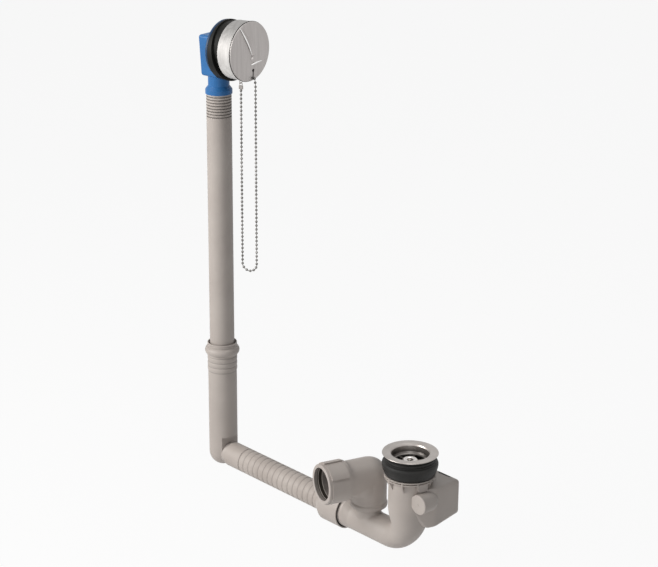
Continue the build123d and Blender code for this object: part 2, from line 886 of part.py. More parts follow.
with BuildPart() as trap_body:
    add(saddle.part)
    add(level_run(0))
    add(bend_place * bend(bend_radius, throat_radius, widening_turn))
    add(widening(0))
    add(
        turned(
            [
                (0, widening_top),
                (inlet_radius, widening_top),
                (inlet_radius, rim_bottom),
                (inlet_rim_radius - 0.6, rim_bottom),
                (inlet_rim_radius - 0.6, rim_bottom + rim_ring),
                (rim_core, rim_bottom + rim_ring),
                (rim_core, rim_top - rim_ring),
                (inlet_rim_radius, rim_top - rim_ring),
                (inlet_rim_radius, rim_top),
                (0, rim_top),
            ]
        )
    )
    add(chamber.part)
    add(closed_boss.part)
    add(
        Location((-outlet_gap, 0, 0))
        * turned(
            [
                (0, stub_base),
                (stub_radius, stub_base),
                (stub_head_radius, stub_base + 3.0),
                (stub_head_radius, stub_groove - 1.7),
                (stub_head_radius - 2.0, stub_groove - 1.7),
                (stub_head_radius - 2.0, stub_groove + 1.7),
                (stub_head_radius, stub_groove + 1.7),
                (stub_head_radius, stub_top - 1.2),
                (stub_head_radius - 1.2, stub_top),
                (0, stub_top),
            ]
        )
    )
    with BuildSketch(Plane.XZ):
        with BuildLine():
            Polyline(
                (inlet_radius - 1, rim_top - 0.4),
                (inlet_rim_radius - 0.3, rim_top - 0.4),
                (inlet_rim_radius - 0.3, rim_bottom - 0.8),
                (inlet_radius + 0.4, rim_bottom - rib_drop),
                (inlet_radius - 1, rim_bottom - rib_drop),
                close=True,
            )
        make_face()
    rib = extrude(amount=0.8, both=True, mode=Mode.PRIVATE)
    for i in range(rim_ribs):
        add(Rot(0, 0, rib_turn + i * 360 / rim_ribs) * rib)
    with BuildSketch(Plane.XZ):
        with Locations((pad_radius - 1.5, rim_bottom - pad_drop / 2)):
            Rectangle(3.0, pad_drop)
    pad = revolve(axis=Axis.Z, revolution_arc=pad_sweep, mode=Mode.PRIVATE)
    add(Rot(0, 0, pad_turn) * pad)
    # water ways
    add(level_run(trap_wall), mode=Mode.SUBTRACT)
    with BuildSketch(Plane.YZ.offset(throat_end)):
        with Locations((0, throat_level)):
            Circle(throat_radius - trap_wall)
    extrude(amount=-bend_radius - throat_end, mode=Mode.SUBTRACT)
    add(bend_place * bend(bend_radius, throat_radius - trap_wall, widening_turn), mode=Mode.SUBTRACT)
    add(widening(trap_wall), mode=Mode.SUBTRACT)
    with BuildSketch(Plane.XY.offset(widening_top)):
        Circle(inlet_radius - trap_wall)
    extrude(amount=rim_top - widening_top, mode=Mode.SUBTRACT)
    with BuildSketch(Plane.XY.offset(-level_drop)):
        with Locations((-outlet_gap, 0)):
            Circle(stub_radius - stub_wall)
    extrude(amount=stub_top + level_drop, mode=Mode.SUBTRACT)
    add(cavity.part, mode=Mode.SUBTRACT)
    with BuildSketch(Plane.XY.offset(chamber_top - 1.4)):
        with Locations((slot_place, slot_side)):
            SlotOverall(21, 1.8)
    extrude(amount=2, mode=Mode.SUBTRACT)
    # spider with the screw boss
    with BuildSketch(Plane.XY.offset(spider_top)):
        Circle(spider_radius)
        with PolarLocations(0, 3, start_angle=90):
            with Locations((inlet_radius / 2 - 1, 0)):
                Rectangle(inlet_radius, 3)
        Circle(inlet_radius - 1, mode=Mode.INTERSECT)
    extrude(amount=-spider_height)
    with BuildSketch(Plane.XY.offset(spider_top)):
        Circle(waste_insert_radius)
    extrude(amount=-insert_depth, mode=Mode.SUBTRACT)
    with BuildSketch(Plane.XY.offset(spider_top)):
        Circle(waste_screw_radius + screw_gap)
    extrude(amount=-spider_height, mode=Mode.SUBTRACT)
keep(trap_body.part, "trap_body")

# Brass insert for the waste screw
with BuildPart() as waste_insert:
    with BuildSketch(Plane.XY.offset(spider_top)):
        Circle(waste_insert_radius)
        Circle(waste_screw_radius + screw_gap / 2, mode=Mode.SUBTRACT)
    extrude(amount=-insert_depth)
keep(waste_insert.part, "waste_insert")

# Waste flange: pressed flange, dish and strainer in one sheet
plate_top = -dish_depth
plate_bottom = plate_top - plate_thickness
with BuildPart() as waste_flange:
    add(
        turned(
            [
                (flange_radius - 0.4, 0),
                (flange_radius, 0.5),
                (flange_radius - 0.3, 1.2),
                (flange_radius - 1.6, flange_thickness + 0.3),
                (dish_radius + 3.0, flange_thickness),
                (dish_radius + 1.0, flange_thickness - 0.7),
                (dish_radius, flange_thickness - 2.2),
                (dish_radius - 0.8, plate_top + 3.0),
                (dish_radius - 1.6, plate_top + 1.0),
                (dish_radius - 3.0, plate_top),
                (0, plate_top),
                (0, plate_bottom),
                (dish_radius - 2.0, plate_bottom),
                (dish_radius - 0.2, plate_top + 0.6),
                (dish_radius + 0.7, plate_top + 3.0),
                (dish_radius + 1.4, -1.4),
                (dish_radius + 2.2, 0),
            ]
        )
    )
    with BuildSketch(Plane.XY.offset(plate_bottom - 1)):
        Circle(dish_radius - 4.0)
        Circle(screw_head_radius + 1.6, mode=Mode.SUBTRACT)
        with PolarLocations(0, strainer_bars):
            with Locations((dish_radius / 2, 0)):
                Rectangle(dish_radius, 3.2, mode=Mode.SUBTRACT)
    extrude(amount=plate_thickness + 2, mode=Mode.SUBTRACT)
    with BuildSketch(Plane.XY.offset(plate_bottom - 1)):
        Circle(waste_screw_radius + screw_gap)
    extrude(amount=plate_thickness + 2, mode=Mode.SUBTRACT)
keep(waste_flange.part, "waste_flange")

# Waste screw with a wide ring head and a six-sided socket
screw_end = spider_top - insert_depth + 1.0
with BuildPart() as waste_screw:
    add(
        turned(
            [
                (0, screw_end),
                (waste_screw_radius - 0.8, screw_end),
                (waste_screw_radius, screw_end + 0.8),
                (waste_screw_radius, plate_top),
                (screw_head_radius, plate_top),
                (screw_head_radius, plate_top + 1.8),
                (screw_head_radius - 1.0, plate_top + 2.8),
                (5.8, plate_top + 2.8),
                (5.0, plate_top + 2.2),
                (0, plate_top + 2.2),
            ]
        )
    )
    with BuildSketch(Plane.XY.offset(plate_top + 2.8)):
        RegularPolygon(4.6, 6)
    extrude(amount=-4.4, mode=Mode.SUBTRACT)
keep(waste_screw.part, "waste_screw")

# Thin seal under the flange
flange_seal = turned(
    [
        (waste_gasket_bore, 0),
        (flange_radius - 2.4, 0),
        (flange_radius - 2.0, -1.0),
        (flange_radius - 2.6, -flange_seal_thickness),
        (waste_gasket_bore, -flange_seal_thickness),
    ]
)
keep(flange_seal, "flange_seal")

# Profile gasket between bath and trap rim
gasket_top = -flange_seal_thickness
waste_gasket = turned(
    [
        (waste_gasket_bore, gasket_top),
        (waste_gasket_radius - 4.6, gasket_top),
        (waste_gasket_radius - 4.6, gasket_top - 1.4),
        (waste_gasket_radius - 3.4, gasket_top - 2.2),
        (waste_gasket_radius - 3.4, gasket_top - 3.2),
        (waste_gasket_radius - 4.4, gasket_top - 4.0),
        (waste_gasket_radius - 4.1, gasket_top - 4.8),
        (waste_gasket_radius - 2.6, gasket_top - 5.6),
        (waste_gasket_radius - 2.6, gasket_top - 6.6),
        (waste_gasket_radius - 3.1, gasket_top - 7.2),
        (waste_gasket_radius - 1.4, gasket_top - 8.2),
        (waste_gasket_radius - 0.3, gasket_top - 9.4),
        (waste_gasket_radius, gasket_top - 10.8),
        (waste_gasket_radius, gasket_top - 12.2),
        (waste_gasket_radius - 0.5, gasket_top - 15.5),
        (waste_gasket_radius - 1.5, gasket_top - 19.0),
        (waste_gasket_foot + 1.9, rim_top + 2.0),
        (waste_gasket_foot + 0.6, rim_top),
        (waste_gasket_bore, rim_top),
    ]
)
keep(waste_gasket, "waste_gasket")

# Outlet elbow: socket over the stub, round knee and threaded arm, in the outlet's own frame
elbow_foot = stub_base + outlet_drop + 1.0
socket_top = stub_top + outlet_drop + 1.2
socket_radius = stub_head_radius + seal_gap + 0.2
arm_stop = nut_back - 6.0
thread_end = nut_front - 10.4
knee_bore = elbow_radius - elbow_wall - 2.0
with BuildPart() as outlet_elbow:
    add(
        turned(
            [
                (0, elbow_foot),
                (elbow_radius - 0.8, elbow_foot),
                (elbow_radius + collar_flare * 0.6, elbow_foot + 1.2),
                (elbow_radius + collar_flare, elbow_foot + 3.0),
                (elbow_radius + collar_flare, elbow_foot + collar_depth - 2.6),
                (elbow_radius - 0.3, elbow_foot + collar_depth - 0.4),
                (elbow_radius, elbow_foot + collar_depth),
                (elbow_radius, 0),
                (0, 0),
            ]
        )
    )
    Sphere(elbow_radius)
    with BuildSketch(Plane.YZ):
        Circle(elbow_arm_radius)
    extrude(amount=nut_back - 1.5)
    add(
        Location((0, 0, -knee_radius), (0, 180, 0))
        * bend(knee_radius, elbow_arm_radius - 0.1)
    )
    with BuildSketch(Plane.YZ):
        Circle(thread_radius)
    extrude(amount=thread_end)
    with BuildSketch(Plane.XY.offset(elbow_foot)):
        Circle(socket_radius)
    extrude(amount=socket_top - elbow_foot, mode=Mode.SUBTRACT)
    with BuildSketch(Plane.XY.offset(socket_top)):
        Circle(knee_bore)
    extrude(amount=-socket_top, mode=Mode.SUBTRACT)
    Sphere(knee_bore, mode=Mode.SUBTRACT)
    with BuildSketch(Plane.YZ):
        Circle(knee_bore)
    extrude(amount=thread_end, mode=Mode.SUBTRACT)
    with BuildSketch(Plane.YZ.offset(arm_stop)):
        Circle(outlet_bore)
    extrude(amount=thread_end, mode=Mode.SUBTRACT)
keep(outlet_place * outlet_elbow.part, "outlet_elbow")

# O-ring on the trap's stub
elbow_seal = Location((-outlet_gap, 0, 0)) * turned(
    [
        (stub_head_radius - 2.0 + 0.1, stub_groove - 1.3),
        (stub_head_radius + seal_gap - 0.1, stub_groove - 1.3),
        (stub_head_radius + seal_gap, stub_groove),
        (stub_head_radius + seal_gap - 0.1, stub_groove + 1.3),
        (stub_head_radius - 2.0 + 0.1, stub_groove + 1.3),
    ]
)
keep(elbow_seal, "elbow_seal")

# Union nut with stepped grip panels
lip_back = nut_front - 4.2
panel_length = nut_front - nut_back - panel_front - panel_back
panel_half = pi / nut_panels
panel_middle = nut_radius + nut_panel * 0.62
panel_turn = 30.0
with BuildPart() as union_nut:
    with BuildSketch(Plane.YZ.offset(nut_back)):
        Circle(nut_radius)
    extrude(amount=nut_front - nut_back)
    chamfer(union_nut.edges().group_by(Axis.X)[-1], 0.7)
    with BuildSketch(Plane.YZ.offset(nut_back + panel_back)):
        with BuildLine():
            Line((0, 0), (nut_radius + nut_panel, 0))
            ThreePointArc(
                (nut_radius + nut_panel, 0),
                (panel_middle * cos(panel_half), panel_middle * sin(panel_half)),
                (nut_radius * cos(2 * panel_half), nut_radius * sin(2 * panel_half)),
            )
            Line((nut_radius * cos(2 * panel_half), nut_radius * sin(2 * panel_half)), (0, 0))
        make_face()
    panel = extrude(amount=panel_length, mode=Mode.PRIVATE)
    for i in range(nut_panels):
        add(Rot(panel_turn + i * 360 / nut_panels, 0, 0) * panel)
    with BuildSketch(Plane.YZ.offset(nut_back)):
        Circle(thread_radius + seat_gap)
    extrude(amount=lip_back - nut_back, mode=Mode.SUBTRACT)
    with BuildSketch(Plane.YZ.offset(nut_back)):
        Circle(nut_mouth)
    extrude(amount=nut_front - nut_back, mode=Mode.SUBTRACT)
keep(outlet_place * union_nut.part, "union_nut")

# Slip washer and rubber ring between elbow and nut lip
outlet_seal = turned(
    [
        (thread_end, outlet_bore + 0.1),
        (thread_end, thread_radius - 0.2),
        (thread_end + 3.2, thread_radius - 0.2),
        (thread_end + 4.4, outlet_bore + 1.2),
        (thread_end + 4.4, outlet_bore + 0.1),
    ],
    Axis.X,
)
keep(outlet_place * outlet_seal, "outlet_seal")
slip_washer = turned(
    [
        (thread_end + 4.4, outlet_bore + 0.3),
        (thread_end + 4.4, outlet_bore + 1.2),
        (thread_end + 3.2, thread_radius - 0.2),
        (lip_back, thread_radius - 0.2),
        (lip_back, outlet_bore + 0.3),
    ],
    Axis.X,
)
keep(outlet_place * slip_washer, "slip_washer")
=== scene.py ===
# Bath waste and overflow set, dressed for its picture: chain, hose, trim, finishes, floor, lamps and camera.
import json
from math import cos, pi, radians, sin

import bpy
from mathutils import Matrix, Vector


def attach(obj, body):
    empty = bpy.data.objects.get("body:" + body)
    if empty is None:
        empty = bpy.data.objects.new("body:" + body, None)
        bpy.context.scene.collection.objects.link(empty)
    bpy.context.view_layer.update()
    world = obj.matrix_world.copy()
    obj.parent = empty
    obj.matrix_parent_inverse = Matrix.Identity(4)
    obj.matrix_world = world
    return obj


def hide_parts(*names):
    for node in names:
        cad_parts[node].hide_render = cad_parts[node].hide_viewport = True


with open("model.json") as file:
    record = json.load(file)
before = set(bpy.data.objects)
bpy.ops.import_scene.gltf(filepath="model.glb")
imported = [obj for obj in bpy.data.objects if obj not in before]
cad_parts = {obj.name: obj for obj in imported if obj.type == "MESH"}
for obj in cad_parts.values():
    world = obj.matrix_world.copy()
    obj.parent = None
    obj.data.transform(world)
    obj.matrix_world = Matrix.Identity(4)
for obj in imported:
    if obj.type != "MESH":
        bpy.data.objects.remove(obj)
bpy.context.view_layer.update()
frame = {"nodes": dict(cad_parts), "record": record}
nodes = frame["nodes"]

# Places and sizes shared with the part, in metres
reach = 0.3605
head_height = 0.4474
head_turn = radians(9.5)
level_axis = -0.1182
hose_start, hose_end = -0.3401, -0.1380
hose_radius, hose_wall = 0.01675, 0.0015
groove_top, groove_pitch, groove_low = 0.3828, 0.00381, 0.3551
socket_rib_top, socket_rib_pitch, socket_top = 0.0228, 0.0071, 0.0245
disc_back, disc_front, disc_radius = 0.0512, 0.0534, 0.03825
ring_back, ring_front = 0.0096, 0.0141
outlet_corner, outlet_turn = (-0.0722, 0.0, -0.0547), radians(-106.4)
nut_front, seal_front, seal_back, outlet_bore = 0.0672, 0.0612, 0.0568, 0.0205
dish_radius, dish_depth = 0.0236, -0.0022

# Camera at the photograph's place
camera_place = (1.511117, -1.537307, 0.991489)
camera_heading, camera_tilt, camera_roll = radians(137.2 - 90), radians(90 - 19.709), radians(0.377)
focal_length, sensor_width = 105.19, 36.0
nearest_seen, farthest_seen = 0.1, 50.0

# Ball chain, with the places of its hanging runs along the head's own axes
bead_size, bead_pitch = 0.0035, 0.0053
link_radius, link_length = 0.00045, bead_pitch * 1.04
front_run, back_run, run_side = 0.057, 0.0375, 0.0056
run_high, run_middle, run_low, loop_fold = -0.090, -0.200, -0.29105, 0.0117
connector_end = (back_run, 0.0, -0.0512)
keyhole_end = (0.0556, 0.0052, -0.0344)

# Ribbed hose, with half a rib's outline: distance from its middle, and share of the full radius
rib_start, rib_pitch, rib_count = -0.3101, 0.00997, 16
rib_end = rib_start + rib_count * rib_pitch
crease_share, flare_length = 0.954, 0.0006
rib_outline = [(rib_pitch / 2, crease_share), (0.0045, 0.964), (0.0040, 0.987), (0.0033, 0.998), (0.0, 1.0)]
same_place = 0.00001
weld_distance = 0.00005

# Trim
long_crease_width, short_crease_width = 0.0021, 0.0025
# Black ring at the plug's edge: the seal's edge and a painted shadow of the gap
seal_and_shadow_ring_thickness, seal_and_shadow_ring_step = 0.0006, 0.0002
mark_place, mark_radius, mark_depth, mark_edge = (0.0312, -0.0165, -0.0547), 0.0015, 0.0006, 0.0002
# A dark strip on the chamber's top, standing in for a shadow line
shadow_strip_place, shadow_strip_turn = (0.0134, 0.0480, -0.0401), radians(2)
shadow_strip_size, shadow_strip_edge = (0.0182, 0.0022, 0.0006), 0.00015

# Angles over which an edge stays sharp
hose_sharp, trim_sharp = radians(50), radians(40)

# Floor, backdrop and lamps
floor_size, floor_place, floor_white, floor_glow = 30.0, (-0.3, 0.3, -0.30), 0.86, 0.92
sky_colour, sky_strength = (0.80, 0.81, 0.83, 1), 0.12
pure_white = (1, 1, 1, 1)
lit_place = (-0.2, 0.0, 0.12)


def on_head(x, y, z):
    """A point given along the head's own axes, as a point in the frame."""
    c, s = cos(head_turn), sin(head_turn)
    return Vector((-reach + c * x - s * y, s * x + c * y, head_height + z))


def on_outlet(x):
    """A point on the outlet's axis, at a distance from the elbow's corner."""
    return Vector(outlet_corner) + Vector((cos(outlet_turn), sin(outlet_turn), 0)) * x


def deselect():
    bpy.ops.object.select_all(action="DESELECT")


def set_camera():
    lens = bpy.data.cameras.new("camera")
    lens.sensor_fit = "HORIZONTAL"
    lens.sensor_width = sensor_width
    lens.lens = focal_length
    lens.clip_start = nearest_seen
    lens.clip_end = farthest_seen
    camera = bpy.data.objects.new("camera", lens)
    bpy.context.scene.collection.objects.link(camera)
    heading = Matrix.Rotation(camera_heading, 3, "Z")
    tilt = Matrix.Rotation(camera_tilt, 3, "X")
    roll = Matrix.Rotation(camera_roll, 3, "Z")
    camera.location = camera_place
    camera.rotation_euler = (heading @ tilt @ roll).to_euler()
    bpy.context.scene.camera = camera


set_camera()


# Ball chain
def chain_line():
    """The chain's hanging line, read from a smooth curve through its route's control points."""
    route = [
        connector_end,
        (back_run, 0.0, run_high),
        (back_run, 0.0, run_middle),
        (back_run, 0.0, run_low + loop_fold),
        (back_run, 0.0, run_low),
        ((back_run + front_run) / 2, run_side / 2, run_low - loop_fold / 2),
        (front_run, run_side, run_low),
        (front_run, run_side, run_low + loop_fold),
        (front_run, run_side, run_middle),
        (front_run, run_side, run_high),
        (front_run, run_side, -0.052),
        (front_run, run_side, -0.0402),
        keyhole_end,
    ]
    curve = bpy.data.curves.new("chain_line", "CURVE")
    curve.dimensions = "3D"
    curve.resolution_u = 24
    spline = curve.splines.new("NURBS")
    spline.points.add(len(route) - 1)
    for point, place in zip(spline.points, route):
        point.co = (*on_head(*place), 1.0)
    spline.order_u = 3
    spline.use_endpoint_u = True
    line = bpy.data.objects.new("chain_line", curve)
    bpy.context.scene.collection.objects.link(line)
    bpy.context.view_layer.update()
    mesh = bpy.data.meshes.new_from_object(line)
    points = [vertex.co.copy() for vertex in mesh.vertices]
    bpy.data.objects.remove(line)
    bpy.data.meshes.remove(mesh)
    return points


def walk(points, step, start):
    """Places a fixed step apart along a line of points, each with its direction, and the line's length."""
    places = []
    due = start
    done = 0.0
    for a, b in zip(points, points[1:]):
        length = (b - a).length
        while due <= done + length:
            places.append((a.lerp(b, (due - done) / length), (b - a).normalized()))
            due += step
        done += length
    return places, done


def make_bead():
    """One bead with the short link through it, which reaches a little into the next bead's link."""
    deselect()
    bpy.ops.mesh.primitive_uv_sphere_add(segments=12, ring_count=8, radius=bead_size / 2)
    bead = bpy.context.object
    bpy.ops.mesh.primitive_cylinder_add(vertices=6, radius=link_radius, depth=link_length, end_fill_type="NGON")
    bead.select_set(True)
    bpy.context.view_layer.objects.active = bead
    bpy.ops.object.join()
    bpy.ops.object.shade_smooth()
    return bead


def make_chain():
    points = chain_line()
    places, length = walk(points, bead_pitch, bead_size / 2)
    pattern = make_bead()
    beads = []
    for place, heading in places:
        bead = pattern.copy()
        bead.data = pattern.data.copy()
        bead.matrix_world = Matrix.Translation(place) @ heading.to_track_quat("Z", "Y").to_matrix().to_4x4()
        bpy.context.scene.collection.objects.link(bead)
        beads.append(bead)
    bpy.data.objects.remove(pattern)
    deselect()
    for bead in beads:
        bead.select_set(True)
    bpy.context.view_layer.objects.active = beads[0]
    bpy.ops.object.transform_apply(location=True, rotation=True, scale=True)
    bpy.ops.object.join()
    chain = bpy.context.object
    chain.name = "ball_chain"
    bpy.ops.object.transform_apply(location=True, rotation=True, scale=True)
    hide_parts("plug_chain")
    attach(chain, "head")
    return chain


ball_chain = make_chain()


# Ribbed link hose
def select_ring(place):
    """In edit mode, only the points at one place along the X axis are selected."""
    mesh = bpy.context.object.data
    bpy.ops.mesh.select_all(action="DESELECT")
    bpy.ops.object.mode_set(mode="OBJECT")
    for vertex in mesh.vertices:
        vertex.select = abs(vertex.co.x - place) < same_place
    bpy.ops.object.mode_set(mode="EDIT")


def extrude_along(distance):
    bpy.ops.mesh.extrude_region_move(TRANSFORM_OT_translate={"value": (distance, 0, 0)})


def widen(share, height=0):
    """Scales the selected points about a line along the X axis, at a height."""
    bpy.ops.transform.resize(value=(1, share, share), center_override=(0, 0, height))


def make_rib():
    """One rib of the hose round the X axis: full in its middle, with a tight crease at both ends."""
    rings = {side * place: share for place, share in rib_outline for side in (-1, 1)}
    deselect()
    bpy.ops.mesh.primitive_cylinder_add(
        vertices=56, radius=hose_radius, depth=rib_pitch, end_fill_type="NOTHING", rotation=(0, pi / 2, 0)
    )
    bpy.ops.object.transform_apply(location=False, rotation=True, scale=False)
    bpy.ops.object.mode_set(mode="EDIT")
    bpy.ops.mesh.select_mode(type="VERT")
    for place in sorted(rings)[1:-1]:
        bpy.ops.mesh.select_all(action="SELECT")
        bpy.ops.mesh.bisect(plane_co=(place, 0, 0), plane_no=(1, 0, 0))
    for place, share in rings.items():
        select_ring(place)
        widen(share)
    bpy.ops.object.mode_set(mode="OBJECT")
    return bpy.context.object


def make_hose():
    """A row of ribs, flared into a plain end on both sides, and given its wall inwards."""
    hose = make_rib()
    hose.name = "ribbed_hose"
    row = hose.modifiers.new("row", "ARRAY")
    row.count = rib_count
    row.use_relative_offset = False
    row.use_constant_offset = True
    row.constant_offset_displace = (rib_pitch, 0, 0)
    row.use_merge_vertices = True
    row.merge_threshold = weld_distance
    bpy.ops.object.modifier_apply(modifier=row.name)
    hose.location = (rib_start + rib_pitch / 2, 0, level_axis)
    bpy.ops.object.transform_apply(location=True, rotation=True, scale=True)
    bpy.ops.object.mode_set(mode="EDIT")
    for place, end in ((rib_start, hose_start), (rib_end, hose_end)):
        flare = flare_length if end > place else -flare_length
        select_ring(place)
        extrude_along(flare)
        widen(1 / crease_share, level_axis)
        extrude_along(end - place - flare)
    bpy.ops.mesh.select_all(action="SELECT")
    bpy.ops.mesh.normals_make_consistent(inside=False)
    bpy.ops.object.mode_set(mode="OBJECT")
    wall = hose.modifiers.new("wall", "SOLIDIFY")
    wall.thickness = hose_wall
    wall.offset = -1
    bpy.ops.object.modifier_apply(modifier=wall.name)
    bpy.ops.object.shade_smooth_by_angle(angle=hose_sharp)
    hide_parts("link_hose")
    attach(hose, "base")
    return hose


ribbed_hose = make_hose()


# Trim: finger creases with a painted highlight and the seal's edge with a painted shadow gap on the plug, gate
# mark, painted shadow strip on the chamber, rings in the outlet's mouth
def settle(piece, name, body):
    """Gives a finished piece its name, smooth shading and body, with its place in its mesh."""
    piece.name = name
    bpy.ops.object.transform_apply(location=True, rotation=True, scale=True)
    bpy.ops.object.shade_smooth_by_angle(angle=trim_sharp)
    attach(piece, body)
    return piece


def round_edges(piece, width):
    edge = piece.modifiers.new("edge", "BEVEL")
    edge.width = width
    edge.segments = 2
    bpy.ops.object.modifier_apply(modifier=edge.name)


def make_crease(name, width, places):
    """A raised crease through five places on the disc: across, up, lift and share of the width."""
    deselect()
    bpy.ops.curve.primitive_nurbs_path_add()
    curve = bpy.context.object.data
    for point, (across, up, lift, share) in zip(curve.splines[0].points, places):
        point.co = (*on_head(disc_front + lift, across, up), 1.0)
        point.radius = share
    curve.splines[0].order_u = 4
    curve.bevel_depth = width / 2
    curve.bevel_resolution = 3
    curve.use_fill_caps = True
    bpy.ops.object.convert(target="MESH")
    return settle(bpy.context.object, name, "head")


def make_ring(name, place, turn, radius, thickness, around, across, body):
    """A fine ring about a level axis, with its numbers of steps around and across."""
    deselect()
    bpy.ops.mesh.primitive_torus_add(
        major_radius=radius,
        minor_radius=thickness,
        major_segments=around,
        minor_segments=across,
        location=place,
        rotation=(0, pi / 2, turn),
    )
    return settle(bpy.context.object, name, body)


def make_seal_edge_and_shadow_gap():
    """The black edge of the plug's seal, seen between the disc and the rosette, also standing as painted shadow
    in the gap between them.
    """
    place = on_head(disc_back + seal_and_shadow_ring_step, 0, 0)
    return make_ring(
        "plug_seal_edge_and_shadow_gap", place, head_turn, disc_radius, seal_and_shadow_ring_thickness, 80, 8, "head"
    )


def make_gate_mark():
    """The small round mark that moulding leaves in the middle of the boss's face."""
    deselect()
    bpy.ops.mesh.primitive_cylinder_add(
        vertices=24, radius=mark_radius, depth=mark_depth, location=mark_place, rotation=(pi / 2, 0, 0)
    )
    mark = bpy.context.object
    round_edges(mark, mark_edge)
    return settle(mark, "gate_mark", "base")


def make_chamber_shadow_strip():
    """A painted shadow: a narrow dark strip along the back edge of the chamber's top."""
    deselect()
    bpy.ops.mesh.primitive_cube_add(size=1, location=shadow_strip_place, rotation=(0, 0, shadow_strip_turn))
    bpy.ops.transform.resize(value=shadow_strip_size)
    strip = bpy.context.object
    bpy.ops.object.transform_apply(location=False, rotation=False, scale=True)
    round_edges(strip, shadow_strip_edge)
    return settle(strip, "chamber_shadow_strip", "base")


def make_mouth_ring(name, place, radius, thickness):
    """A fine pale ring inside the outlet's mouth."""
    return make_ring(name, on_outlet(place), outlet_turn, radius, thickness, 72, 6, "outlet")


# The finger creases carry a painted highlight through their pale finish
long_crease = make_crease(
    "long_finger_crease",
    long_crease_width,
    [
        (-0.0206, 0.0334, 0.0006, 0.3),
        (-0.0150, 0.0262, 0.0009, 0.8),
        (-0.0075, 0.0145, 0.0014, 1.0),
        (-0.0018, 0.0035, 0.0019, 0.7),
        (0.0010, -0.0040, 0.0022, 0.2),
    ],
)
short_crease = make_crease(
    "short_finger_crease",
    short_crease_width,
    [
        (0.0010, -0.0172, 0.0009, 0.3),
        (0.0045, -0.0163, 0.0013, 1.0),
        (0.0100, -0.0152, 0.0012, 0.9),
        (0.0170, -0.0150, 0.0008, 0.6),
        (0.0250, -0.0148, 0.0003, 0.2),
    ],
)
seal_edge_and_shadow_gap = make_seal_edge_and_shadow_gap()
gate_mark = make_gate_mark()
chamber_shadow_strip = make_chamber_shadow_strip()
inner_ring = make_mouth_ring("mouth_inner_ring", seal_back - 0.0006, outlet_bore - 0.0001, 0.00032)
outer_ring = make_mouth_ring("mouth_outer_ring", seal_front + 0.0002, outlet_bore + 0.0002, 0.00026)


# Materials
def add_node(tree, kind, **values):
    """A new node in a tree, with the inputs named here set."""
    node = tree.nodes.new(kind)
    for key, value in values.items():
        node.inputs[key.replace("_", " ")].default_value = value
    return node


